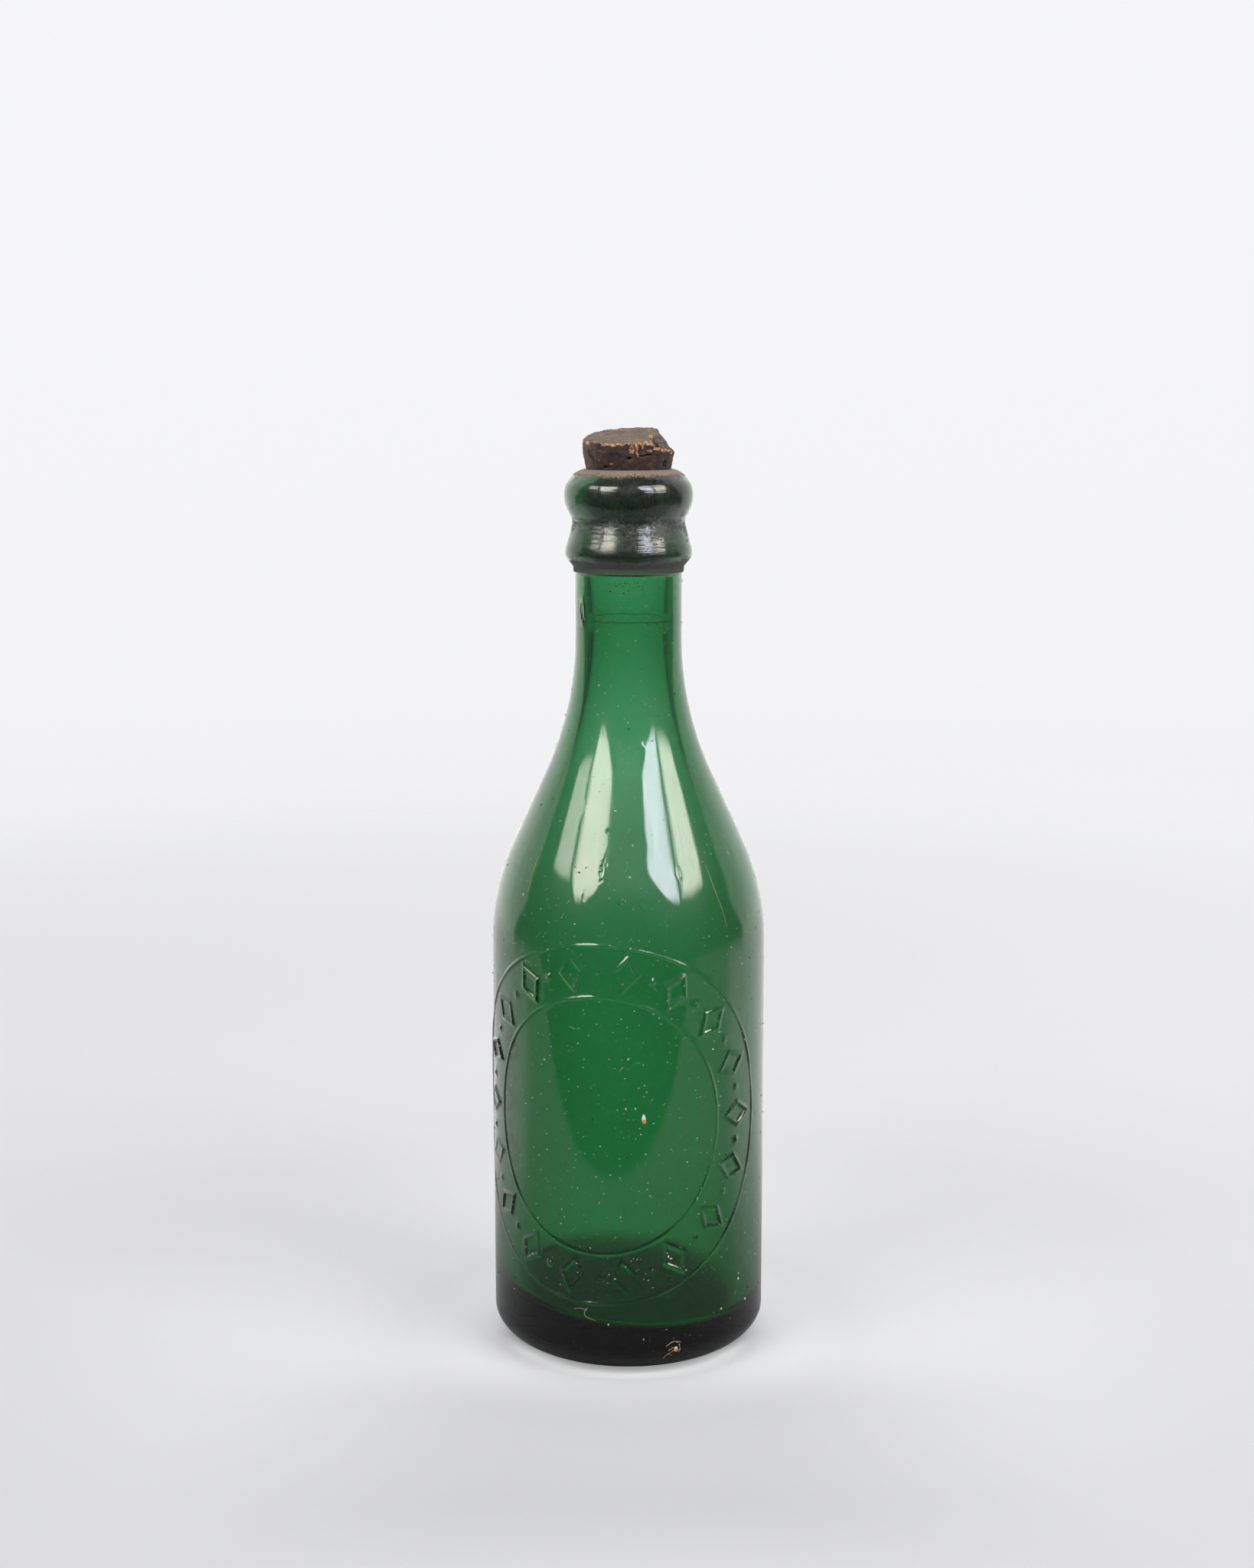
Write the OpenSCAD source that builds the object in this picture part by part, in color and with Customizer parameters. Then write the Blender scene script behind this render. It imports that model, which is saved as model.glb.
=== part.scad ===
// Corked glass bottle with an applied, tooled lip.
// Millimetres, +Z up, with the origin at the middle of the plane that the bottle stands on.
// Three pieces: the blown body and neck, the lip of added glass around the neck's end, and the cork.

/* [Body] */
// Outer radius of the straight wall
body_r = 32; // [26:0.5:40]
// Height at which the straight wall ends and the shoulder starts
wall_top = 97; // [70:1:130]
// Thickness of the straight wall
body_wall = 4.8; // [3:0.1:6]
// How far the rounded heel comes in from the wall at the base
heel_w = 9.6; // [4:0.2:12]
// Height of the rounded heel
heel_h = 7.6; // [5:0.1:14]
// Thickness of the glass under the inside floor
floor_t = 12; // [8:0.2:20]
// Radius of the corner between the inside floor and the wall
floor_round = 3; // [1:0.5:12]
// Radius of the hollow pushed up into the base
push_up_r = 16; // [8:0.5:18]
// Depth of the hollow pushed up into the base
push_up_h = 2; // [0.5:0.1:4]

/* [Shoulder and neck] */
// Height of the shoulder, from the straight wall to the straight neck
shoulder_h = 71; // [55:1:90]
// Radius of the shoulder's rounded lower part
shoulder_round = 54.6; // [40:0.2:70]
// Share of the shoulder that is curved: at 1 no straight stretch is left
shoulder_flow = 0.6; // [0.4:0.05:0.95]
// Outer radius of the neck
neck_r = 12.35; // [11:0.05:14]
// Radius of the hole through the neck
neck_bore_r = 8.1; // [6:0.1:9]
// Length of straight neck below the tapered part of its hole
neck_plain_h = 3.6; // [1:0.2:20]
// Length of neck, below the lip, in which the hole widens towards the mouth
neck_taper_h = 11.2; // [4:0.2:20]

/* [Lip] */
// Height of the lip, from its lower edge on the neck to its top
lip_h = 23.5; // [21:0.1:30]
// How far the lip's lower edge stands out from the neck
ledge_step = 0.3; // [0.1:0.05:1]
// Height of the plain band above the lip's lower edge
ledge_h = 1.3; // [0.5:0.1:2.5]
// Radius of the lip's lower ring
ring_r = 14.65; // [13.8:0.05:17]
// Height of the lower ring's widest line above the lip's lower edge
ring_z = 4.5; // [3.5:0.1:6]
// Rounding of the lower ring
ring_round = 1.5; // [0.5:0.1:2]
// Radius of the lip's waist
waist_r = 12.85; // [12.6:0.05:14]
// Height of the waist above the lip's lower edge
waist_z = 11.6; // [9:0.1:13]
// Radius of the lip's upper roll
roll_r = 14.9; // [14:0.05:18]
// Rounding of the upper roll
roll_round = 6; // [4:0.1:7]
// Radius of the hole at the mouth
mouth_r = 9.8; // [9:0.1:11]
// Outer radius of the neck's end inside the lip
tube_end_r = 11.5; // [11.1:0.05:12]
// How far the neck's end lies below the top of the lip
tube_end_drop = 3; // [1:0.2:6]

/* [Cork] */
// Length of the cork inside the mouth
cork_in = 20; // [10:0.5:30]
// Height of the cork's middle above the top of the lip
cork_out = 7.6; // [3:0.2:15]
// Radius of the cork's free end
cork_top_r = 10.45; // [9.5:0.05:12]
// Gap between the cork and the glass
cork_gap = 0.05; // [0.02:0.01:0.1]
// Angle by which the cork's cut top leans
cork_lean = 9; // [0:1:20]
// Direction in which the cork's top rises, from +X towards +Y
cork_rise_dir = 71; // [0:1:359]
// How far the broken edge of the cork reaches in from its side
chip_in = 2.8; // [0.5:0.1:5]
// How far the broken edge of the cork reaches down from its top
chip_down = 3.6; // [1:0.1:7]
// Direction in which the broken edge lies, from +X towards +Y
chip_dir = -3; // [-180:1:180]

/* [Hidden] */
$fn = 120;

// Heights of the seats that the pieces share
neck_z = wall_top + shoulder_h;
taper_z = neck_z + neck_plain_h;
ledge_z = taper_z + neck_taper_h;
lip_z = ledge_z + lip_h;
tube_end_z = lip_z - tube_end_drop;

// The upper roll of the lip, whose round meets the mouth's hole
roll_x = roll_r - roll_round;
roll_z = lip_z - roll_round;
mouth_angle = mouth_r > roll_x ? acos((mouth_r - roll_x) / roll_round) : 90;
mouth_z = roll_z + roll_round * sin(mouth_angle);

// How finely the curved stretches are divided, and the power that flattens the heel
heel_steps = 10;
arc_steps = 14;
heel_power = 1.84;

glass_green = [0.05, 0.27, 0.13];
lip_green = [0.04, 0.22, 0.11];
cork_brown = [0.36, 0.27, 0.23];

// Radius of the tapered hole that the lipping tool's plug leaves, at height z
function bore_r(z) =
    neck_bore_r + (mouth_r - neck_bore_r) * (z - taper_z) / (mouth_z - taper_z);

// Points along an arc about [x, z], of half-widths rx and rz, from angle a to angle b
function arc(x, z, rx, rz, a, b, steps) =
    [for (i = [0:steps]) let (t = a + (b - a) * i / steps) [x + rx * cos(t), z + rz * sin(t)]];

// A shoulder from radius r0 up to radius r1: a round stretch, a straight one and a hollow one,
// each tangent to the next. round_r is the radius of the round stretch.
function shoulder(r0, r1, round_r) =
    let (drop = r0 - r1,
         lean = atan(drop / shoulder_h) * (1 + shoulder_flow),
         radii = (shoulder_h * sin(lean) - drop * cos(lean)) / (1 - cos(lean)),
         hollow_r = radii - round_r)
    concat(arc(r0 - round_r, wall_top, round_r, round_r, 0, lean, arc_steps),
           arc(r1 + hollow_r, neck_z, hollow_r, hollow_r, 180 + lean, 180, arc_steps));

function reversed(points) = [for (i = [len(points) - 1:-1:0]) points[i]];

// The heel, flatter than an ellipse, from the standing ring out to the wall
function heel() =
    [for (i = [0:heel_steps]) let (t = 90 * i / heel_steps)
        [body_r - heel_w * (1 - pow(sin(t), 2 / heel_power)), heel_h * (1 - pow(cos(t), 2 / heel_power))]];

// The hollow in the base, one shallow dome
function push_up() =
    let (dome_r = (push_up_r * push_up_r + push_up_h * push_up_h) / (2 * push_up_h),
         half = asin(push_up_r / dome_r))
    arc(0, push_up_h - dome_r, dome_r, dome_r, 90, 90 - half, arc_steps);

function floor_corner() =
    arc(body_r - body_wall - floor_round, floor_t + floor_round, floor_round, floor_round,
        0, -90, heel_steps);

module bottle_body() {
    outside = concat(push_up(), heel(), shoulder(body_r, neck_r, shoulder_round),
                     [[neck_r, ledge_z], [tube_end_r, tube_end_z]]);
    inside = concat([[bore_r(tube_end_z), tube_end_z], [neck_bore_r, taper_z]],
                    reversed(shoulder(body_r - body_wall, neck_bore_r, shoulder_round - body_wall)),
                    floor_corner(), [[0, floor_t]]);
    color(glass_green) rotate_extrude() polygon(concat(outside, inside));
}

// Where the lower half of the roll reaches down to the waist
roll_low_angle = acos((waist_r - roll_x) / roll_round);
roll_low_h = (roll_z - ledge_z - waist_z) / sin(roll_low_angle);
// The cone between ring and waist leans by this angle
cone_lean = atan((ring_r - waist_r) / (waist_z - ring_z));
// The face under the ring slopes by this angle
flare_angle = 45;

module applied_lip() {
    band_r = neck_r + ledge_step;
    outside = concat([[neck_r, ledge_z], [band_r, ledge_z], [band_r, ledge_z + ledge_h]],
                     arc(ring_r - ring_round, ledge_z + ring_z, ring_round, ring_round,
                         -flare_angle, cone_lean, heel_steps),
                     arc(roll_x, roll_z, roll_round, roll_low_h, -roll_low_angle, 0, heel_steps),
                     arc(roll_x, roll_z, roll_round, roll_round, mouth_angle / arc_steps,
                         mouth_angle, arc_steps));
    inside = [[mouth_r, mouth_z], [bore_r(tube_end_z), tube_end_z], [tube_end_r, tube_end_z]];
    color(lip_green) rotate_extrude() polygon(concat(outside, inside));
}

module cork_stopper() {
    foot_z = lip_z - cork_in;
    top_z = lip_z + cork_out;
    // The blank is taller than its leaning cut, and the two cutting blocks are wider than it
    blank_h = cork_out + cork_top_r;
    block = 8 * cork_top_r;
    chip_lean = atan(chip_down / chip_in);
    color(cork_brown) difference() {
        rotate_extrude() polygon([[0, foot_z], [bore_r(foot_z) - cork_gap, foot_z],
            [mouth_r - cork_gap, mouth_z], [cork_top_r, top_z], [cork_top_r, lip_z + blank_h],
            [0, lip_z + blank_h]]);
        translate([0, 0, top_z]) rotate([0, -cork_lean, cork_rise_dir])
            translate([-block / 2, -block / 2, 0]) cube(block);
        rotate([0, 0, chip_dir]) translate([cork_top_r - chip_in, 0, top_z])
            rotate([0, chip_lean, 0]) translate([-block / 2, -block / 2, 0]) cube(block);
    }
}

bottle_body();
applied_lip();
cork_stopper();
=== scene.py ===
import math

import bmesh
import bpy
import numpy as np
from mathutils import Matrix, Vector, noise
from mathutils.bvhtree import BVHTree


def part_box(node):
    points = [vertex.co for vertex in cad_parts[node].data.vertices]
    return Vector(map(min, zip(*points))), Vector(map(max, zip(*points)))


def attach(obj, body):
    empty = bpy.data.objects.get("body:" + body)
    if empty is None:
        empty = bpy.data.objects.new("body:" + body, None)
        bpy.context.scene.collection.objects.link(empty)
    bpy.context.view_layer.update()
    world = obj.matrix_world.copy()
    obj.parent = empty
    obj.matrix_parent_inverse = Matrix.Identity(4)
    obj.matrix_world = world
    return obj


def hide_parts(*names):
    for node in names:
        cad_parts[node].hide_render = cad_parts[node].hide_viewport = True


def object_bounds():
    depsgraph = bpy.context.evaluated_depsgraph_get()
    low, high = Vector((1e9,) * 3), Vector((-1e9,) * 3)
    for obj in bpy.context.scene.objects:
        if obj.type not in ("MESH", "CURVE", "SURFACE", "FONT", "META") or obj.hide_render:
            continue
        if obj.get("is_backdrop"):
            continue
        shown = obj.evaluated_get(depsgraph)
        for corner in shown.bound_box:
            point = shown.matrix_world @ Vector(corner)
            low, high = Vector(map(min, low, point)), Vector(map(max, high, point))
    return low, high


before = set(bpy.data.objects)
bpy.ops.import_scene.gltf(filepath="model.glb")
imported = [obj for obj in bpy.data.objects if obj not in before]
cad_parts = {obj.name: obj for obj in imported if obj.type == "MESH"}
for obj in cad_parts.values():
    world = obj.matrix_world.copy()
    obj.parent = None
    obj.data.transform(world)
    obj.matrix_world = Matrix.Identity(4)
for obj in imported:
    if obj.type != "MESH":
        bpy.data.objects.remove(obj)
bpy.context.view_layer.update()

MM = 0.001


# Camera. It stands half a metre in front of the bottle, a little above it, and looks down on it.
# The image points are places in the photograph's frame, scaled to a long side of 1568. The first
# four are the edges of the whole bottle, one number each; the others are features.
IMAGE_W, IMAGE_H = 1254, 1568
POINTS = {
    "bottle_left": (493.1, None),
    "bottle_right": (764.9, None),
    "cork_top": (None, 427.2),
    "base_bottom": (None, 1366.4),
    "lip_lower_edge": (628.6, 576.0),
    "upper_roll_right": (692.1, 497.7),
    "lower_ring_left": (562.7, 549.7),
    "cork_break_low": (674.5, 452.1),
    "outer_oval_bottom": (609.4, 1304.6),
    "outer_oval_right": (751.1, 1102.5),
    "inner_oval_bottom": (607.1, 1254.9),
    "neck_blister": (582.6, 611.0),
    "pitted_patch": (601.8, 869.0),
    "pale_fleck": (643.9, 1119.3),
    "crumb": (676.0, 1349.0),
    "lint": (585.0, 1313.8),
}
LENS, SENSOR = 56.25, 36
FOCAL = IMAGE_H * LENS / SENSOR
LIP_EDGE_R = 12.65


def new_object(name, data, *materials):
    """A new object at the origin, with its data and materials."""
    piece = bpy.data.objects.new(name, data)
    bpy.context.scene.collection.objects.link(piece)
    for material in materials:
        data.materials.append(material)
    return piece


camera = new_object("camera", bpy.data.cameras.new("camera"))
bpy.context.scene.camera = camera
camera.data.lens = LENS
camera.data.sensor_width = SENSOR
camera.data.sensor_fit = "AUTO"
camera.data.clip_start = 0.01
camera.location = Vector((-0.35, -564, 227)) * MM

# It is aimed so that the lower edge of the lip, at the front of the neck, falls on its image point.
lip_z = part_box("applied_lip")[0].z
aim = Vector((0, -LIP_EDGE_R * MM, lip_z)) - camera.location
aim_x, aim_y = POINTS["lip_lower_edge"]
turn = math.atan2(-aim.x, aim.y) + math.atan2(aim_x - IMAGE_W / 2, FOCAL)
tilt = math.atan2(aim.z, aim.y) - math.atan2(IMAGE_H / 2 - aim_y, FOCAL)
camera.rotation_euler = (math.pi / 2 + tilt, 0, turn)
bpy.context.view_layer.update()


def image_of(place):
    """Where a place in the frame shows in the image."""
    x, y, z = camera.matrix_world.inverted() @ Vector(place)
    return IMAGE_W / 2 - FOCAL * x / z, IMAGE_H / 2 + FOCAL * y / z


def place_on(tree, x, y):
    """The place on a surface behind image point x, y: a miss takes the place nearest the ray."""
    start = camera.matrix_world.translation
    ray = (camera.matrix_world.to_3x3() @ Vector((x - IMAGE_W / 2, IMAGE_H / 2 - y, -FOCAL))).normalized()
    place = tree.ray_cast(start, ray)[0]
    if place is None:
        along_ray = (tree.find_nearest(start + ray * reach) for reach in np.linspace(0.4, 0.7, 600))
        place = min(along_ray, key=lambda hit: hit[3])[0]
    return place


# Stage. A round white table fades into a white room, as in a product photograph. Where it is seen
# by reflection it ends a hand's breadth in front of the bottle, and the room beyond it is dark:
# that gives the glass its dark middle between two pale sides.
bpy.context.scene.view_settings.view_transform = "Standard"


def put(tree, kind, inputs=None, **settings):
    """Add a node with its settings. Each input is a value, or the output that feeds it. A kind that
    names no family of nodes is a shader node."""
    node = tree.nodes.new(kind if "Node" in kind else "ShaderNode" + kind)
    for key, value in settings.items():
        setattr(node, key, value)
    for key, value in (inputs or {}).items():
        if isinstance(value, bpy.types.NodeSocket):
            tree.links.new(value, node.inputs[key])
        else:
            node.inputs[key].default_value = value
    return node


def out(kind, inputs, **settings):
    """The first output of a node added to the tree that its inputs come from."""
    tree = next(value.id_data for value in inputs.values() if isinstance(value, bpy.types.NodeSocket))
    return put(tree, kind, inputs, **settings).outputs[0]


def maths(operation, *values):
    """The result of a maths node."""
    return out("Math", dict(enumerate(values)), operation=operation)


def product(first, *others):
    """Several values multiplied."""
    for value in others:
        first = maths("MULTIPLY", first, value)
    return first


def mixed(factor, a, b, how="MIX"):
    """Two colours mixed by a factor."""
    inputs = {0: factor, 6: a, 7: b}
    return out("Mix", inputs, data_type="RGBA", blend_type=how).node.outputs[2]


def times(colour, value):
    """A colour made lighter or darker by a value."""
    return mixed(1, colour, out("CombineColor", {0: value, 1: value, 2: value}), "MULTIPLY")


def between(value, low, high, to_low=0, to_high=1):
    """A value brought smoothly from the range low..high to to_low..to_high."""
    inputs = {"Value": value, "From Min": low, "From Max": high, "To Min": to_low, "To Max": to_high}
    return out("MapRange", inputs, interpolation_type="SMOOTHSTEP")


def ramp(factor, stops):
    """A colour ramp from (place, colour) stops."""
    node = out("ValToRGB", {0: factor}).node
    while len(node.color_ramp.elements) < len(stops):
        node.color_ramp.elements.new(0.5)
    for element, (place, colour) in zip(node.color_ramp.elements, stops):
        element.position = place
        element.color = (*colour, 1)
    return node.outputs[0]


def share(value, low, high):
    """How far a value lies on its way from low to high, from 0 to 1."""
    return out("MapRange", {"Value": value, "From Min": low, "From Max": high})


def spotted(place, scale, detail, roughness=0.5):
    """A noise texture. A scale of three numbers draws it out along an axis."""
    if isinstance(scale, tuple):
        place, scale = out("Mapping", {"Vector": place, "Scale": scale}), 1
    inputs = {"Vector": place, "Scale": scale, "Detail": detail, "Roughness": roughness}
    return out("TexNoise", inputs)


def bumpy(height, strength, distance):
    """A normal that a height bends."""
    return out("Bump", {"Height": height, "Strength": strength, "Distance": distance})


def parts(vector):
    """The x, y and z of a vector."""
    return out("SeparateXYZ", {0: vector}).node.outputs


def object_place(tree):
    """The place on the object, as a vector."""
    return put(tree, "TexCoord").outputs["Object"]


def own(tree, name):
    """An attribute of the mesh."""
    return put(tree, "Attribute", attribute_name=name).outputs["Fac"]


def end_material(surface, **more):
    """Ends a material's node tree."""
    put(surface.id_data, "OutputMaterial", {"Surface": surface, **more})


def new_material(name):
    """A new material with an empty node tree."""
    material = bpy.data.materials.new(name)
    material.use_nodes = True
    material.node_tree.nodes.clear()
    return material, material.node_tree


def only_reflected(tree):
    """1 where a surface is seen by reflection, 0 where it is seen straight or through glass."""
    path = put(tree, "LightPath")
    not_through = maths("SUBTRACT", 1, path.outputs["Is Transmission Ray"])
    return product(path.outputs["Is Glossy Ray"], not_through)


def new_mesh(name, places, edges=(), faces=(), **values):
    """A mesh, with one number for each point under each attribute's name."""
    mesh = bpy.data.meshes.new(name)
    mesh.from_pydata(places, edges, faces)
    for label, numbers in values.items():
        mesh.attributes.new(label, "FLOAT", "POINT").data.foreach_set("value", numbers)
    return mesh


TABLE_R, TABLE_SIDES = 1, 96
white_table, tree = new_material("white_table")
spot = object_place(tree)
across, depth, _ = parts(spot)
# Its colour is a painted falloff of the light: a little darker towards the camera,
white = ramp(share(depth, -0.16, 0.7), [
    (0, (0.69, 0.69, 0.7)), (0.2, (0.75, 0.75, 0.76)), (0.45, (0.83, 0.83, 0.84)),
    (1, (0.88, 0.88, 0.89))])
# painted light makes it lighter to the right and beside the bottle's foot, and a painted shadow darkens it
# in front of the foot,
reach = out("VectorMath", {0: spot}, operation="LENGTH").node.outputs["Value"]
painted_light = maths("MULTIPLY_ADD", across, 0.13, between(reach, 0.04, 0.16, 1.17, 1))
painted_shadow_in_front = product(between(depth, -0.015, -0.05), between(across, -0.11, -0.02),
                   between(across, 0.11, 0.02), between(depth, -0.135, -0.09))
painted_light = maths("MULTIPLY_ADD", painted_shadow_in_front, -0.18, painted_light)
white = times(white, product(painted_light, between(reach, 0.03, 0.058, 1.16, 1)))
# and where it is seen by reflection it is painted darker near the bottle and in front of it, a painted
# shade for a table lit from behind
painted_reflection_shade = product(between(depth, -0.03, 0.03, 0.55, 1), between(reach, 0.03, 0.22, 0.5, 1.25))
reflected = only_reflected(tree)
white = mixed(reflected, white, times(white, painted_reflection_shade))
weave = bumpy(spotted(spot, 160, 5), 0.12, MM)
cloth = out("BsdfDiffuse", {"Color": white, "Normal": weave})
# A painted pool of light, an emission, brightens the cloth close in front of the foot, where light comes
# down through the glass
painted_light_pool = product(between(reach, 0.0283, 0.0328, 0.29, 0), between(depth, -0.004, -0.018),
                maths("SUBTRACT", 1, reflected))
painted_light_pool = out("Emission", {"Color": (1, 1, 1, 1), "Strength": painted_light_pool})
cloth = out("AddShader", {0: cloth, 1: painted_light_pool})
# Beyond its slanting front edge, in reflections only, it is dark
bow = maths("MULTIPLY_ADD", across, 0.13, 0.22)
front_edge = maths("MULTIPLY_ADD", across, bow, depth)
dark = put(tree, "Emission", {"Color": (0.05, 0.055, 0.05, 1)}).outputs[0]
beyond = product(between(front_edge, -0.171, -0.189), reflected)
near = out("MixShader", {0: beyond, 1: cloth, 2: dark})
# Far from the bottle it fades away
clear = put(tree, "BsdfTransparent").outputs[0]
end_material(out("MixShader", {0: between(reach, 0.3, 0.95), 1: near, 2: clear}))

turns = np.arange(TABLE_SIDES) * math.tau / TABLE_SIDES
rim = [(TABLE_R * math.cos(t), TABLE_R * math.sin(t), 0) for t in turns]
table = new_object("table", new_mesh("table", rim, faces=[range(TABLE_SIDES)]), white_table)
table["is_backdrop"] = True

# The room is white where it is seen straight or through glass. In reflections it is white behind
# the bottle and dark in front of it, and what thick glass bends in from the sides is dimmer. For
# everything matt it is a soft even light.
room = bpy.data.worlds.new("room")
bpy.context.scene.world = room
room.use_nodes = True
tree = room.node_tree
tree.nodes.clear()
way = put(tree, "TexCoord").outputs["Generated"]
across, back, up = parts(way)
backdrop = ramp(share(up, -0.2, 0.3), [
    (0, (0.865, 0.865, 0.88)), (0.2, (0.905, 0.905, 0.92)), (1, (0.925, 0.925, 0.94))])
half_back = maths("MULTIPLY_ADD", back, 0.5, 0.5)
soft = ramp(half_back, [(0, (0.5, 0.5, 0.51)), (1, (0.95, 0.95, 0.97))])
path = put(tree, "LightPath").outputs
sides = maths("ADD", between(across, -0.55, -0.85, 0, 0.7), between(across, 0.6, 0.88, 0, 0.55))
dimmer = product(path["Is Transmission Ray"], sides)
straight = mixed(dimmer, backdrop, (0.05, 0.06, 0.06, 1))
straight = mixed(path["Is Diffuse Ray"], straight, soft)
behind = mixed(between(across, -0.6, 0.6), (1.38, 1.45, 1.38, 1), (1.18, 1.28, 1.22, 1))
behind = times(behind, between(back, 0.15, 0.75, 0.72, 1.08))
far_back = maths("SUBTRACT", back, between(up, -0.12, 0.12, 0.2, 0))
mirrored = mixed(between(far_back, 0.11, 0.2), (0.1, 0.11, 0.12, 1), behind)
air = out("Background", {"Color": mixed(only_reflected(tree), straight, mirrored)})
put(tree, "OutputWorld", {"Surface": air})

# Two wide soft lamps, left and right behind the camera, light what is matt.
AIM_AT = Vector((0, 0, 0.13))
LAMP_REACH, LAMP_SIZE, WINDOW_REACH = 1.5, 0.8, 1.6


def toward(across, up, reach):
    """A place round the bottle: degrees to the right of the camera's side, degrees above level, metres."""
    a, e = math.radians(across), math.radians(up)
    return AIM_AT + reach * Vector((math.sin(a) * math.cos(e), -math.cos(a) * math.cos(e), math.sin(e)))


for name, across, up, watts in (("lamp_left", -45, 42, 5), ("lamp_right", 50, 42, 6.5)):
    lamp = new_object(name, bpy.data.lights.new(name, "AREA"))
    lamp.data.size = LAMP_SIZE
    lamp.data.energy = watts
    lamp.location = toward(across, up, LAMP_REACH)
    lamp.rotation_euler = (AIM_AT - lamp.location).to_track_quat("-Z", "Y").to_euler()
    lamp.visible_glossy = lamp.visible_transmission = lamp.visible_camera = False

# Four tall windows and a dim wall between them, in the dark side of the room, show only as
# reflections. Each has its left and right edge at the foot and higher up, the height of its foot at
# its left, middle and right, how far it fades in above the foot, all in degrees, its colour and its
# brightness.
# Their top, the rise in which they spread, their fades at the top and (as a share) at the sides, and
# how ragged their feet are
WINDOW_TOP, WINDOW_SPREAD, WINDOW_FADE_OUT, SIDE_FADE, RAGGED = 50, 16, 12, 0.2, 2
WINDOWS = {
    "window_far_left": (-80, -55, -86, -60, (23, 22, 23.5), 5, (1, 0.97, 0.88, 1), 7),
    "window_left": (-49, -34, -61, -19, (15.5, 15, 20.5), 7, (1, 0.97, 0.86, 1), 12.3),
    "wall_between": (-24, 24, -24, 20, (19, 19, 19), 12, (0.95, 0.98, 1, 1), 0.7),
    "window_right": (36, 46, 16, 50, (19.5, 15.5, 15), 7, (0.93, 0.92, 1.04, 1), 14),
    "window_far_right": (46.5, 72, 49, 82, (16.5, 15.5, 17), 7, (1, 0.98, 0.87, 1), 11.4),
}
for name, (foot_left, foot_right, left, right, feet, fade_in, colour, brightness) in WINDOWS.items():
    shine, tree = new_material(name)
    shine.cycles.emission_sampling = "NONE"
    streaks = spotted(object_place(tree), (20, 20, 1.2), 3)
    uneven = between(streaks, 0.25, 0.75, 0.78 * brightness, 1.2 * brightness)
    strength = product(uneven, own(tree, "fade"))
    glow = out("Emission", {"Color": colour, "Strength": strength})
    clear = put(tree, "BsdfTransparent").outputs[0]
    end_material(out("MixShader", {0: only_reflected(tree), 1: clear, 2: glow}))
    side, places, fades = 33, [], []
    for j in range(side):
        for i in range(side):
            across = i / (side - 1)
            foot = np.interp(across, [0, 0.5, 1], feet) + RAGGED * noise.noise((i * 0.55, brightness, 0))
            up = foot + (WINDOW_TOP - foot) * j / (side - 1)
            spread = min(1, (up - foot) / WINDOW_SPREAD)
            low = foot_left + (left - foot_left) * spread
            high = foot_right + (right - foot_right) * spread
            places.append(toward(low + (high - low) * across, up, WINDOW_REACH))
            fade = min(1, across / SIDE_FADE, (1 - across) / SIDE_FADE, (up - foot) / fade_in,
                       (WINDOW_TOP - up) / WINDOW_FADE_OUT)
            fades.append(fade * fade * (3 - 2 * fade))
    faces = [(j * side + i, j * side + i + 1, (j + 1) * side + i + 1, (j + 1) * side + i)
             for j in range(side - 1) for i in range(side - 1)]
    window = new_object(name, new_mesh(name, places, faces=faces, fade=fades), shine)
    window.visible_camera = window.visible_diffuse = window.visible_shadow = False
    window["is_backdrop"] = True


# Bottle. Thick green glass, blown in a mould, with the lip added round the neck's end and shaped by
# a turning tool: the two are melted together, so they show as one piece. Raised rings and a band of
# lozenges stand on the front of the wall.
BODY_R, BODY_WALL, WALL_TOP = 32, 4.8, 97
HEEL_W, HEEL_H, HEEL_POWER = 9.6, 7.6, 1.84
PUSH_UP_R, PUSH_UP_H = 16, 2
SHOULDER_H, SHOULDER_FLOW, SHOULDER_ROUND, SHOULDER_ROUND_IN = 71, 0.6, 54.6, 49.8
THINNED, FLATTENED = 0.9, 0.9
NECK_R, NECK_TOP, BORE_R, BORE_STEP, TAPER_Z = 12.35, 182.6, 8.1, 0.12, 171.6
FLOOR_Z, FLOOR_ROUND = 12, 3
FLOOR_SLANT_X, FLOOR_SLANT_Y = -0.085, 0.05
MOUTH_R, MOUTH_Z = 9.8, 206.23
COLUMNS = 120


def arc(x, z, rx, rz, start, end, steps):
    """Points on an arc about (x, z), from one angle to another in degrees."""
    turns = np.radians(np.linspace(start, end, steps + 1))
    return [(x + rx * math.cos(t), z + rz * math.sin(t)) for t in turns]


def line(a, b, steps):
    """Points on a straight line, without its last."""
    return [(a[0] + (b[0] - a[0]) * i / steps, a[1] + (b[1] - a[1]) * i / steps) for i in range(steps)]


def curve(points, steps):
    """A smooth curve through points."""
    p = np.array([points[0], *points, points[-1]], float)
    found = []
    for i in range(1, len(p) - 2):
        for t in np.arange(steps) / steps:
            found.append(0.5 * (2 * p[i] + (p[i + 1] - p[i - 1]) * t
                                + (2 * p[i - 1] - 5 * p[i] + 4 * p[i + 1] - p[i + 2]) * t ** 2
                                + (3 * p[i] - p[i - 1] - 3 * p[i + 1] + p[i + 2]) * t ** 3))
    return [tuple(place) for place in found] + [tuple(points[-1])]


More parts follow.
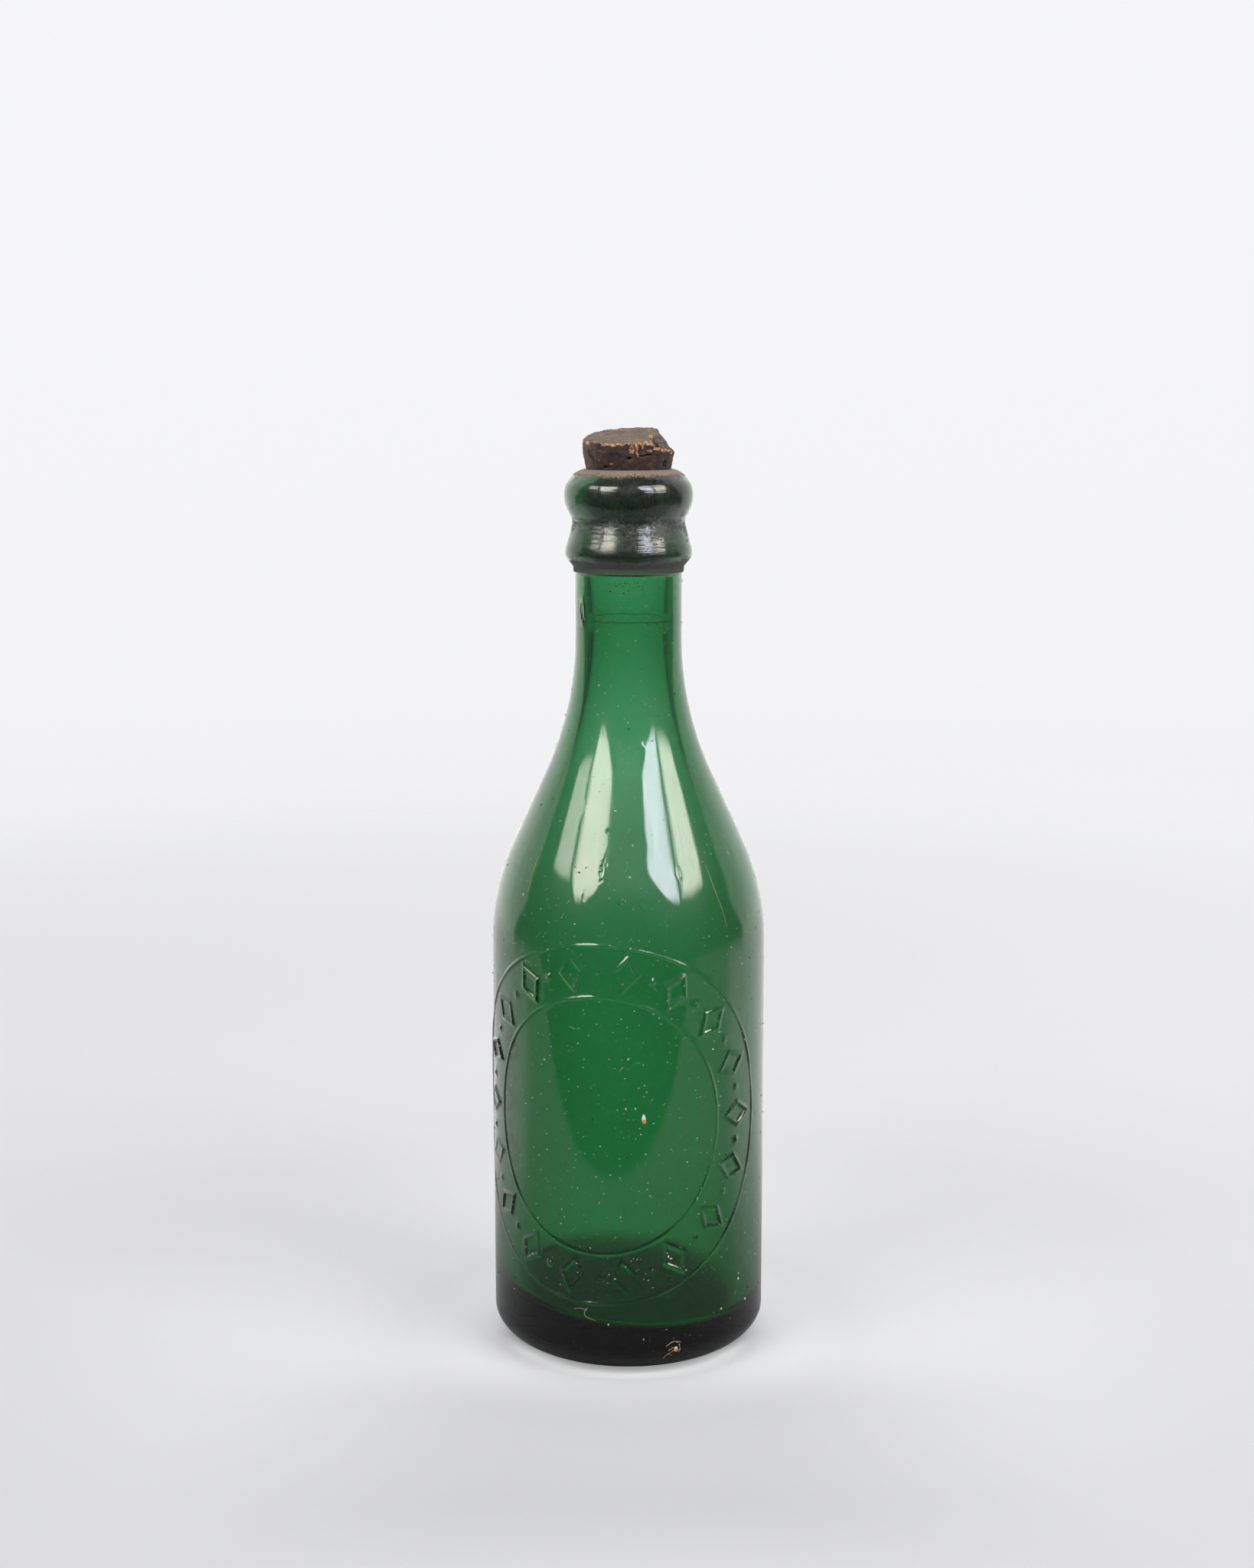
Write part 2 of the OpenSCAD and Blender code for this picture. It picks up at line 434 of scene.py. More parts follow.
def shoulder(r0, r1, round_r, steps):
    """A shoulder from radius r0 up to r1: a round stretch, a straight one and a hollow one."""
    drop = r0 - r1
    lean = math.atan(drop / SHOULDER_H) * (1 + SHOULDER_FLOW)
    radii = (SHOULDER_H * math.sin(lean) - drop * math.cos(lean)) / (1 - math.cos(lean))
    hollow_r = radii - round_r
    low = arc(r0 - round_r, WALL_TOP, round_r, round_r, 0, math.degrees(lean), steps)
    lean_end = 180 + math.degrees(lean)
    high = arc(r1 + hollow_r, WALL_TOP + SHOULDER_H, hollow_r, hollow_r, lean_end, 180, steps)
    return low + line(low[-1], high[0], steps)[1:] + high


dome_r = (PUSH_UP_R ** 2 + PUSH_UP_H ** 2) / (2 * PUSH_UP_H)
dome_half = math.degrees(math.asin(PUSH_UP_R / dome_r))
bulge = 2 / HEEL_POWER
heel = [(BODY_R - HEEL_W * (1 - math.sin(t) ** bulge), HEEL_H * (1 - math.cos(t) ** bulge))
        for t in np.radians(np.linspace(0, 90, 17))]
LIP_FORM = [(LIP_EDGE_R, 183), (12.66, 183.6), (12.7, 184.15), (12.95, 184.5), (13.35, 185),
            (14.18, 186), (14.6, 186.7), (14.67, 187.4), (14.5, 188.5), (14.04, 190), (13.4, 192),
            (12.99, 193.6), (12.89, 194.5), (13.1, 195.3), (13.62, 196.1), (14.56, 198), (14.86, 199.6),
            (14.89, 200.8), (14.72, 202), (14.23, 203.2), (12.66, 205), (11.2, 205.85), (10.35, 206.15),
            (9.95, 206.1), (9.72, 205.7)]
outside = (arc(0, PUSH_UP_H - dome_r, dome_r, dome_r, 90, 90 - dome_half, 9)[:-1]
           + [(16.3, 0.03), (18, 0), (20.5, 0)] + heel[:-1]
           + line((BODY_R, HEEL_H), (BODY_R, WALL_TOP), 52) + shoulder(BODY_R, NECK_R, SHOULDER_ROUND, 13)
           + line((NECK_R, 169), (NECK_R, NECK_TOP), 10)
           + [(NECK_R, NECK_TOP), (12.42, 182.78), (12.6, 182.8)]
           + curve(LIP_FORM, 3))
inner_wall = BODY_R - BODY_WALL
taper_foot, low_bore, floor_top = (BORE_R, TAPER_Z + 0.3), BORE_R - BORE_STEP, FLOOR_Z + FLOOR_ROUND
inside = (line((9.68, 205), taper_foot, 16) + [taper_foot, (low_bore, TAPER_Z)]
          + shoulder(inner_wall, low_bore, SHOULDER_ROUND_IN, 9)[::-1]
          + line((inner_wall, 95), (inner_wall, floor_top), 22)
          + arc(inner_wall - FLOOR_ROUND, floor_top, FLOOR_ROUND, FLOOR_ROUND, 0, -90, 6)
          + line((inner_wall - FLOOR_ROUND - 2, FLOOR_Z), (0, FLOOR_Z), 8) + [(0, FLOOR_Z)])
# The shoulder is blown a little thinner
inside = [(r + THINNED * math.sin(math.pi * (z - WALL_TOP) / SHOULDER_H), z)
          if WALL_TOP < z < WALL_TOP + SHOULDER_H else (r, z) for r, z in inside]
outline = np.array(outside + inside)
OUTSIDE_ROWS = len(outside)


def geometry_group(name, **sockets):
    """A geometry node tree with a geometry input and output, and the kinds of its other inputs."""
    group = bpy.data.node_groups.new(name, "GeometryNodeTree")
    group.interface.new_socket("Geometry", in_out="INPUT", socket_type="NodeSocketGeometry")
    group.interface.new_socket("Geometry", in_out="OUTPUT", socket_type="NodeSocketGeometry")
    for label, kind in sockets.items():
        group.interface.new_socket(label, in_out="INPUT", socket_type="NodeSocket" + kind)
    return group, group.nodes.new("NodeGroupInput").outputs


def end_group(geometry, material):
    """Ends a geometry node tree: real geometry, in its material."""
    real = out("GeometryNodeRealizeInstances", {"Geometry": geometry})
    painted = out("GeometryNodeSetMaterial", {"Geometry": real, "Material": material})
    put(painted.id_data, "NodeGroupOutput", {"Geometry": painted})


def grown(piece, group, **values):
    """The mesh that a geometry node tree makes from an object, with the tree's inputs set by name."""
    modifier = piece.modifiers.new(group.name, "NODES")
    modifier.node_group = group
    for item in group.interface.items_tree:
        if item.in_out == "INPUT" and item.name in values:
            modifier[item.identifier] = values[item.name]
    bpy.context.view_layer.update()
    made = bpy.data.meshes.new_from_object(piece.evaluated_get(bpy.context.evaluated_depsgraph_get()))
    piece.modifiers.remove(modifier)
    piece.data = made
    return made


# The lathe turns an outline, given as points at (radius, 0, height), into a closed skin round the Z
# axis, and keeps with each point the number of its row in the outline.
lathe, given = geometry_group("lathe", Columns="Int", Material="Material")
rows = out("GeometryNodeAttributeDomainSize", {"Geometry": given["Geometry"]})
edge_count = maths("ADD", given["Columns"], 1)
grid = out("GeometryNodeMeshGrid", {"Vertices X": edge_count, "Vertices Y": rows})
index = put(lathe, "GeometryNodeInputIndex").outputs[0]
column = maths("FLOOR", maths("DIVIDE", index, rows))
row = maths("SUBTRACT", index, product(column, rows))
here = put(lathe, "GeometryNodeInputPosition").outputs[0]
found = {"Geometry": given["Geometry"], "Value": here, "Index": row}
sampled = out("GeometryNodeSampleIndex", found, data_type="FLOAT_VECTOR")
radius, _, height = parts(sampled)
# The seam of the skin, at turn half, lies at the back
part = maths("DIVIDE", column, given["Columns"])
angle = maths("MULTIPLY_ADD", part, math.tau, math.pi)
turned_x = product(radius, maths("SINE", angle))
turned_y = product(radius, maths("COSINE", angle), -1)
turned = out("CombineXYZ", {0: turned_x, 1: turned_y, 2: height})
placed = out("GeometryNodeSetPosition", {"Geometry": grid, "Position": turned})
numbered = out("GeometryNodeStoreNamedAttribute", {"Geometry": placed, "Name": "row", "Value": row})
sewn = out("GeometryNodeMergeByDistance", {"Geometry": numbered, "Distance": 1e-6})
smooth = out("GeometryNodeSetShadeSmooth", {"Geometry": sewn})
end_group(smooth, given["Material"])

def blend(factor, a, b):
    """Two values mixed by a factor."""
    return out("Mix", {"Factor": factor, "A": a, "B": b})


# Clear glass that the light dyes green on its way through, thicker glass darker
glass, tree = new_material("green_glass")
spot = object_place(tree)
height = parts(spot)[2]
on_lip = between(height, 0.1822, 0.1834)
on_roll = between(height, 0.1955, 0.1985)
dull = spotted(spot, 1300, 4)
lip_rough = blend(on_roll, between(dull, 0.4, 0.6, 0.05, 0.22), between(dull, 0.4, 0.6, 0.01, 0.08))
is_inside = between(own(tree, "row"), OUTSIDE_ROWS - 0.6, OUTSIDE_ROWS - 0.4)
within = blend(is_inside, 0.012, between(height, 0.125, 0.15, 0.16, 0.015))
tooled = spotted(spot, (110, 110, 1900), 2, 0.4)
relief = blend(on_lip, maths("MULTIPLY", spotted(spot, 260, 2), 0.013),
               product(tooled, blend(on_roll, 0.8, 0.5)))
shell = out("BsdfPrincipled", {
    "Base Color": (1, 1, 1, 1), "Roughness": blend(on_lip, within, lip_rough), "IOR": 1.52,
    "Transmission Weight": 1, "Normal": bumpy(relief, 0.5, 0.3 * MM),
    "Coat Weight": blend(on_lip, 0.3, 0.35), "Coat Roughness": 0.42})
dye = put(tree, "VolumeAbsorption", {"Color": (0, 0.626, 0.312, 1), "Density": 482})
end_material(shell, Volume=dye.outputs[0])

bottle = new_object("bottle_glass", new_mesh("bottle_outline", [(r * MM, 0, z * MM) for r, z in outline]))
bottle_mesh = grown(bottle, lathe, Columns=COLUMNS, Material=glass)

smooth_glass = BVHTree.FromObject(bottle, bpy.context.evaluated_depsgraph_get())


def seat(name):
    """Degrees from the front and height of an image point on the glass."""
    place = place_on(smooth_glass, *POINTS[name])
    return math.degrees(math.atan2(place.x, -place.y)), place.z / MM


# The raised rings, in millimetres round the wall (0 at the front) and up it: middle, half-axes
OUTER_A, OUTER_B, INNER_A, INNER_B = 42.08, 41.9, 28.88, 30.08
oval_s = math.radians(seat("outer_oval_right")[0]) * BODY_R - OUTER_A
OUTER_OVAL = (oval_s, seat("outer_oval_bottom")[1] + OUTER_B, OUTER_A, OUTER_B)
INNER_OVAL = (oval_s, seat("inner_oval_bottom")[1] + INNER_B, INNER_A, INNER_B)
LOZENGES, LOZENGE_HIGH, LOZENGE_WIDE = 18, 3.9, 2.6
RIDGE_H, RIDGE_SPREAD, BAND_RISE, LOZENGE_SPREAD, DOT_SPREAD = 0.3, 0.23, 1.7, 0.3, 0.5


def oval_gap(s, z, oval):
    """Distance from an oval ring."""
    s0, z0, a, b = oval
    return np.abs(np.hypot((s - s0) / a, (z - z0) / b) - 1) * (a + b) / 2


def band_gap(s, z):
    """Distance from the nearest lozenge outline, and the nearest dot, of the band between the rings."""
    s0, z0, a, b = (np.array(OUTER_OVAL) + INNER_OVAL) / 2
    lozenge, dot = np.full(s.shape, 99.0), np.full(s.shape, 99.0)
    for i in range(1, 2 * LOZENGES + 1):
        sin, cos = math.sin(math.pi * i / LOZENGES), math.cos(math.pi * i / LOZENGES)
        along, up = s - s0 - a * sin, z - z0 - b * cos
        u, v = along * sin + up * cos, along * cos - up * sin
        if i % 2:
            edge = np.abs(np.abs(u) / LOZENGE_HIGH + np.abs(v) / LOZENGE_WIDE - 1)
            lozenge = np.minimum(lozenge, edge / math.hypot(1 / LOZENGE_HIGH, 1 / LOZENGE_WIDE))
        else:
            dot = np.minimum(dot, np.hypot(u, v))
    return lozenge, dot


# Small marks on the glass: degrees from the front, height, half-width and half-height in millimetres,
# and how far the mark's edge and its middle stand out
MARKS = [
    (*seat("neck_blister"), 0.8, 2.3, 0.2, -0.05), (*seat("pitted_patch"), 1.1, 3.6, 0, 0),
    (11.2, 144.5, 0.6, 0.9, 0, 0.3), (11.6, 123, 0.45, 0.5, 0, 0.25),
    (-27.8, 130.9, 0.5, 1.3, 0.04, 0.06), (-9.3, 63.2, 0.8, 0.7, 0.12, 0),
    (-3.4, 42, 0.45, 0.8, 0.12, 0), (-2.5, 36.6, 0.45, 0.8, 0.12, 0),
    (-2.8, 33, 0.4, 0.7, 0.12, 0), (24, 117, 0.7, 2.2, 0, -0.05),
    (-20, 112, 0.5, 1.6, 0.04, -0.03), (-12, 147, 0.4, 0.5, 0.1, -0.06),
    (-11.6, 126, 0.45, 0.45, 0.1, -0.06), (30, 84, 0.5, 1.2, 0.1, 0),
    (-6, 72, 0.35, 15, 0, 0.11), (-3.5, 66, 0.3, 12, 0, 0.08),
    (35, 49, 0.5, 0.5, 0, 0.2),
]


def mark_gap(s, z, mark):
    """How far inside a mark, from 1 at its middle to 0 at its edge and below 0 outside."""
    turn, height, half_w, half_h = mark[:4]
    r = np.interp(height, [97, 110, 125, 140, 168], [32, 30.2, 24.8, 17.8, 12.35])
    return 1 - np.hypot((s / BODY_R - math.radians(turn)) * r / half_w, (z - height) / half_h)


def clouds(x_step, y_step, z_step, shift=0):
    """Smooth noise at each of the glass's points."""
    return np.array([noise.noise((x * x_step + shift, y * y_step, h * z_step)) for x, y, h in places])


# Cells are split up to three times where a ridge or a mark needs them small
bm = bmesh.new()
bm.from_mesh(bottle_mesh)
row_layer = bm.verts.layers.float["row"]
for reach in (2.4, 1.4, 0.75):
    bm.verts.ensure_lookup_table()
    bm.edges.ensure_lookup_table()
    places = np.array([vert.co for vert in bm.verts]) / MM
    vert_rows = np.array([vert[row_layer] for vert in bm.verts])
    ends = np.array([(e.verts[0].index, e.verts[1].index) for e in bm.edges])
    centres = places[ends].mean(axis=1)
    s = np.arctan2(centres[:, 0], -centres[:, 1]) * BODY_R
    z = centres[:, 2]
    lozenge, dot = band_gap(s, z)
    lines = [oval_gap(s, z, OUTER_OVAL), oval_gap(s, z, INNER_OVAL), lozenge, dot - 0.3]
    close = np.minimum.reduce(lines) < reach
    for mark in MARKS:
        close |= mark_gap(s, z, mark) > -0.4
    close &= (vert_rows[ends].max(axis=1) < OUTSIDE_ROWS - 30) & (z > 12)
    chosen = [bm.edges[i] for i in np.nonzero(close)[0]]
    bmesh.ops.subdivide_edges(bm, edges=chosen, cuts=1, use_grid_fill=True)

# Every point goes back onto the outline at its row, then out by the ridges, and a little to and fro
# as blown glass does
places = np.array([vert.co for vert in bm.verts]) / MM
vert_rows = np.array([vert[row_layer] for vert in bm.verts])
turns = np.arctan2(places[:, 0], -places[:, 1])
r = np.interp(vert_rows, range(len(outline)), outline[:, 0])
z = np.interp(vert_rows, range(len(outline)), outline[:, 1])
is_outside = vert_rows < OUTSIDE_ROWS
on_wall = is_outside & (z > 10) & (z < 110)
s = turns * BODY_R
sharp = np.clip(0.75 + 0.9 * clouds(0.11, 0.11, 0.11), 0.4, 1)
ridges = sum(np.exp(-0.5 * (oval_gap(s, z, oval) / RIDGE_SPREAD) ** 2) for oval in (OUTER_OVAL, INNER_OVAL))
ridges *= np.interp(z, [30, 50], [0.95, 1])
for gap, spread in zip(band_gap(s, z), (LOZENGE_SPREAD, DOT_SPREAD)):
    ridges += BAND_RISE * np.exp(-0.5 * (gap / spread) ** 2)
proud = np.where(on_wall, RIDGE_H * sharp * ridges, 0)
for mark in MARKS:
    inside_by = mark_gap(s, z, mark)
    proud += np.where(is_outside, mark[4] * np.exp(-(inside_by / 0.22) ** 2), 0)
    proud += np.where(is_outside & (inside_by > 0), mark[5] * np.clip(inside_by, 0, 1), 0)
# The second mark is a patch of small pits and drops
pitting = 0.22 * clouds(1.5, 1.5, 1.1)
proud += np.where(is_outside, pitting * np.clip(2 * mark_gap(s, z, MARKS[1]), 0, 1), 0)
# The skin waves a little, most on the inside
waves = clouds(0.045, 0.045, 0.03, 7) * np.where(is_outside, 0.05, 0.45) * np.where(z > 183, 0.4, 1)
proud += waves * np.clip(r / 12, 0, 1)
# The front of the shoulder is a little flatter than its sides
along_shoulder = np.clip((z - WALL_TOP) / SHOULDER_H, 0, 1)
flatter = np.sin(np.pi * along_shoulder) ** 2 * np.clip(np.cos(turns), 0, 1) ** 2
proud -= np.where(is_outside, FLATTENED * flatter, 0)
# The floor slants
low_down = np.clip((34 - z) / 20, 0, 1)
floor_tilt = r * (FLOOR_SLANT_X * np.sin(turns) - FLOOR_SLANT_Y * np.cos(turns)) * low_down
floor_tilt = np.where(is_outside, 0, floor_tilt)
r = np.where(r > 0, r + proud * np.clip(r / 8, 0, 1), 0)
where = np.stack([r * np.sin(turns), -r * np.cos(turns), z + floor_tilt], axis=1) * MM
for vert, place in zip(bm.verts, where):
    vert.co = place
bmesh.ops.recalc_face_normals(bm, faces=bm.faces)
bm.to_mesh(bottle_mesh)
bm.free()
bottle_mesh.shade_smooth()
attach(bottle, "bottle")
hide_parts("bottle_body", "applied_lip")


# Cork. A cut cork stopper, dark with age, with a leaning top, a broken corner at its right and a
# worn rim where the fresh cork shows. It is pushed into the mouth and stands out of it.
CORK_FOOT, CORK_TOP, CORK_TOP_R, CORK_GAP, IN_MOUTH = 186.3, 213.85, 10.45, 0.1, 0.12
LEAN_X, LEAN_Y = 0.05, 0.1475
CHIP_TURN = math.radians(-3)
CORK_COLUMNS, SIDE_ROWS, TOP_ROWS = 360, 62, 50
# Marks on the side: degrees from the front, height, half-width and half-height, depth, fresh, dark. Dark is
# painted shade in the deep pits and cracks, and a darker tone of the cork on the flat and rusty marks.
SIDE_MARKS = [
    (0.9, 208.99, 0.75, 0.36, 0.6, 0, 1), (-31.5, 206.9, 0.85, 0.45, 0.6, 0, 1),
    (55.4, 207.6, 0.6, 0.95, 0.6, 0, 1), (18, 209.45, 1.4, 0.2, 0.4, 0, 1),
    (25.5, 209.75, 0.9, 0.3, 0.5, 0, 1), (36, 211.65, 1.1, 0.24, 0.4, 0, 1),
    (9.8, 211.2, 0.42, 1.7, -0.25, 1, 0), (4, 210.9, 0.75, 1.3, 0.15, 0.7, 0.3),
    (11.5, 209.6, 0.3, 0.45, -0.2, 1, 0), (-22.4, 207.7, 0.4, 0.16, 0, 0.9, 0),
    (-42.9, 208.5, 0.7, 0.25, 0.1, 0.5, 0.3), (-39, 210.6, 0.6, 0.2, 0, 0.5, 0),
    (27, 210.6, 0.9, 0.3, -0.15, 1, 0), (37, 211, 1.2, 0.35, -0.2, 1, 0),
    (48, 210.5, 0.8, 0.3, -0.1, 0.8, 0), (-60, 210, 0.25, 1.1, 0.3, 0, 0.8),
    (-52, 209, 0.2, 0.8, 0.25, 0, 0.7), (-68, 208.5, 0.2, 1.3, 0.25, 0, 0.6),
    (7, 212.2, 0.9, 0.5, -0.1, 1, 0), (16, 212.2, 0.9, 0.5, -0.1, 1, 0),
    (24, 212.3, 1, 0.6, -0.1, 1, 0), (31, 212, 0.8, 0.6, -0.1, 0.9, 0),
    (-63, 212.1, 1.3, 0.45, -0.05, 1, 0), (-8, 212, 0.5, 0.4, -0.05, 1, 0),
    (17.5, 211.6, 0.16, 0.7, -0.1, 1, 0), (-5.5, 209.9, 0.5, 0.9, 0, 0, 0.35),
    (-24, 210.2, 0.8, 0.6, 0, 0, 0.3), (42, 208.9, 0.8, 0.6, 0, 0, 0.3),
]
# Marks on the top: place, half-widths, height, fresh, dark. Dark is painted shade in the deep hollow and a
# painted shadow beside the raised bump.
TOP_MARKS = [
    (-2.4, 5.7, 0.8, 0.9, 0.45, 1, 0), (-1.2, 5.2, 0.8, 0.5, -0.2, 0, 0.9),
    (-6.5, 1.2, 0.4, 0.5, 0.1, 1, 0), (6.2, -6.6, 0.6, 1.6, -0.7, 0, 1),
    (5, -4, 0.6, 2.2, 0.3, 1, 0), (4.6, 5, 0.5, 1.3, 0.15, 0.8, 0),
]


def unit(value):
    """A value held between 0 and 1."""
    return min(1, max(0, value))


def crumbly(x, y, z, detail=4):
    """Rough noise."""
    return noise.fractal((x, y, z), 1, 2, detail)


def cork_top_height(x, y):
    """Height of the cork's top at a place, and how far it lies in the broken corner."""
    whole = CORK_TOP + LEAN_X * x + LEAN_Y * y - 0.045 * max(0, -x - 7) ** 2
    u = x * math.cos(CHIP_TURN) + y * math.sin(CHIP_TURN)
    rough = crumbly(x * 0.7, y * 0.7, 3)
    at_front = np.interp(u, [4.6, 5.4, 6.3, 8.6, 10.6], [219, 213, 211.6, 210.9, 209.9])
    at_back = np.interp(u, [5.4, 6.2, 7.3, 8.4, 9.1, 9.8, 10.8],
                        [219, 214.7, 213.4, 212.3, 211.2, 210.6, 209.9])
    broken = at_front + (at_back - at_front) * unit((y + 7) / 8) + 0.45 * rough
    arcs = 0.05 * math.sin(1.9 * math.hypot(x + 14, y - 3) + 2.5 * noise.noise((x * 0.2, y * 0.2, 1)))
    grain = 0.1 * crumbly(x * 1.8, y * 1.8, 5)
    return min(whole + arcs + grain, broken), unit((whole - broken) / 0.35)


corky = []
for column in range(CORK_COLUMNS):
    turn = math.tau * column / CORK_COLUMNS
    sx, sy = math.sin(turn), -math.cos(turn)
    degrees = math.degrees(turn) - (360 if turn > math.pi else 0)
    # The rim is worn round and chipped here and there
    chip = max(0, crumbly(sx * 5.5, sy * 5.5, 7) - 0.02)
    rim_r = CORK_TOP_R - 0.03 - 0.5 * chip
    rim_z, _ = cork_top_height(sx * rim_r, sy * rim_r)
    at_front = unit(0.5 - 0.9 * sy)
    chip *= 0.2 + 0.8 * at_front
    rim_z -= 0.05 + 0.7 * chip
    for row in range(SIDE_ROWS):
        part = row / (SIDE_ROWS - 1)
        if part < IN_MOUTH:
            z = CORK_FOOT + (MOUTH_Z - CORK_FOOT) * part / IN_MOUTH
        else:
            z = MOUTH_Z + (rim_z - MOUTH_Z) * (part - IN_MOUTH) / (1 - IN_MOUTH)
        if z < MOUTH_Z:
            r = BORE_R + (MOUTH_R - BORE_R) * (z - TAPER_Z) / (MOUTH_Z - TAPER_Z) - CORK_GAP
        else:
            r = MOUTH_R - CORK_GAP + (CORK_TOP_R - MOUTH_R + 0.13) * min(1, (z - MOUTH_Z) / 3.8)
        free = unit((z - MOUTH_Z - CORK_GAP) / 0.5)
        bark = crumbly(sx * r * 0.8, sy * r * 0.8, z * 1.1, 5)
        ribs = noise.noise((turn * 30, 0, z * 0.25)) * unit((-degrees - 45) / 20)
        r += free * (0.14 * bark + 0.14 * ribs - 0.04)
        near_rim = math.exp(-((rim_z - z) / 0.34) ** 2)
        r -= near_rim * 0.08
        bare = (0.3 + 0.7 * at_front) * near_rim * unit(0.4 + 3.2 * crumbly(sx * 7, sy * 7, z * 0.6))
        shade = 0
        for mark_turn, mark_z, half_w, half_h, deep, mark_bare, mark_shade_and_stain in SIDE_MARKS:
            off = (degrees - mark_turn) * math.radians(1) * r
            wobble = 0.35 * noise.noise((off * 3, z * 3, mark_turn))
            amount = 1 - math.hypot(off / half_w, (z - mark_z) / half_h) + wobble
            if amount > 0:
                amount = min(1, amount * 2.2)
                r -= deep * amount * free
                bare = max(bare * (1 - mark_shade_and_stain), mark_bare * amount)
                shade = max(shade, mark_shade_and_stain * amount)
        corky.append((sx * r, sy * r, z, bare, shade))
    for row in range(1, TOP_ROWS):
        part = row / TOP_ROWS
        r = rim_r * (1 - part ** 1.25)
        x, y = sx * r, sy * r
        z, in_chip = cork_top_height(x, y)
        inward = rim_r - r
        z -= (0.05 + 0.7 * chip) * math.exp(-(inward / (0.4 + 0.5 * chip)) ** 2)
        patch = crumbly(x * 1.1, y * 1.1, 2)
        bare = math.exp(-(inward / (0.45 + 1.2 * chip)) ** 2) * unit(0.45 + 3 * patch + 2 * chip)
        bare *= 0.3 + 0.7 * at_front
        fringe = 2.5 * in_chip * (1 - in_chip)
        flakes = crumbly(x * 2.6, y * 1.3, z * 2.6, 3)
        bare = max(bare, in_chip * min(0.42, max(0, 1.3 * flakes + 0.1)),
                   fringe * min(0.7, max(0, 0.3 + 2 * flakes)))
        # In the broken corner the face is darkened in patches: painted shade in its hollows, and darker
        # streaks of its own
        shade = in_chip * min(0.75, max(0, 0.45 - 0.9 * flakes))
        for mark_x, mark_y, half_x, half_y, high, mark_bare, mark_shade_and_stain in TOP_MARKS:
            amount = 1 - math.hypot((x - mark_x) / half_x, (y - mark_y) / half_y)
            amount += 0.5 * noise.noise((x * 2, y * 2, mark_x))
            if amount > 0:
                amount = min(1, amount * 1.8)
                z += high * amount
                bare = max(bare * (1 - mark_shade_and_stain), mark_bare * amount)
                shade = max(shade, mark_shade_and_stain * amount)
        corky.append((x, y, z, bare, shade))
rows = SIDE_ROWS + TOP_ROWS - 1
faces = []
for column in range(CORK_COLUMNS):
    here, there = column * rows, (column + 1) % CORK_COLUMNS * rows
    faces += [(here + i, there + i, there + i + 1, here + i + 1) for i in range(rows - 1)]
    faces += [(here, len(corky), there), (here + rows - 1, there + rows - 1, len(corky) + 1)]
corky += [(0, 0, CORK_FOOT, 0, 0), (0, 0, cork_top_height(0, 0)[0], 0, 0)]
places = [Vector(point[:3]) * MM for point in corky]
fresh, dark = [point[3] for point in corky], [point[4] for point in corky]
cork_mesh = new_mesh("cork", places, faces=faces, fresh=fresh, dark=dark)
cork_mesh.shade_smooth()


def matt(colour, roughness, **more):
    """Ends a material in a surface that hardly shines."""
    end_material(out("BsdfPrincipled", {"Base Color": colour, "Roughness": roughness, **more}))


aged_cork, tree = new_material("aged_cork")
spot = object_place(tree)
across, _, height = parts(spot)
facing_up = parts(put(tree, "NewGeometry").outputs["Normal"])[2]
blotches = spotted(spot, 420, 6, 0.65)
fine = spotted(spot, 1500, 4, 0.7)
side = ramp(blotches, [(0.3, (0.009, 0.006, 0.007)), (0.46, (0.027, 0.016, 0.016)),
                       (0.58, (0.05, 0.028, 0.022)), (0.72, (0.14, 0.075, 0.04))])
top = ramp(spotted(spot, (260, 1300, 260), 6, 0.65), [
    (0.32, (0.065, 0.047, 0.037)), (0.5, (0.145, 0.108, 0.085)), (0.68, (0.26, 0.19, 0.145))])
tan = ramp(fine, [(0.4, (0.19, 0.07, 0.022)), (0.5, (0.46, 0.225, 0.09)), (0.6, (0.8, 0.52, 0.29))])
grain = between(fine, 0.3, 0.7, 0.72, 1.3)
colour = times(mixed(between(facing_up, 0.3, 0.7), side, top), grain)
# Its left side is greyed in patches, and worn places show the fresh tan
pale = product(between(across, -0.006, -0.01), between(blotches, 0.36, 0.56))
grey = mixed(pale, colour, (0.12, 0.09, 0.075, 1))
colour = mixed(between(facing_up, 0.5, 0.3), colour, grey)
colour = mixed(between(own(tree, "fresh"), 0.2, 0.65), colour, tan)
# The part in the mouth has kept more of its first colour, with dark pores, and it grows darker towards its
# foot
kept = ramp(blotches, [(0.34, (0.03, 0.018, 0.012)), (0.43, (0.115, 0.068, 0.038)),
                       (0.55, (0.2, 0.128, 0.073)), (0.7, (0.27, 0.185, 0.11))])
kept = times(times(kept, between(height, 0.1865, 0.1945, 0.4, 1)), grain)
worn_edge = maths("MULTIPLY_ADD", blotches, 0.008, height)
colour = mixed(between(worn_edge, 0.2096, 0.2084), colour, kept)
# The dark attribute paints shade into pits, cracks and hollows and a shadow beside a bump on the top; on a
# few marks it is a darker tone of the cork
colour = mixed(own(tree, "dark"), colour, (0.008, 0.005, 0.005, 1))
matt(colour, 0.85, Normal=bumpy(fine, 0.6, 0.2 * MM))
cork = new_object("cork", cork_mesh, aged_cork)
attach(cork, "cork")
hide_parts("cork_stopper")


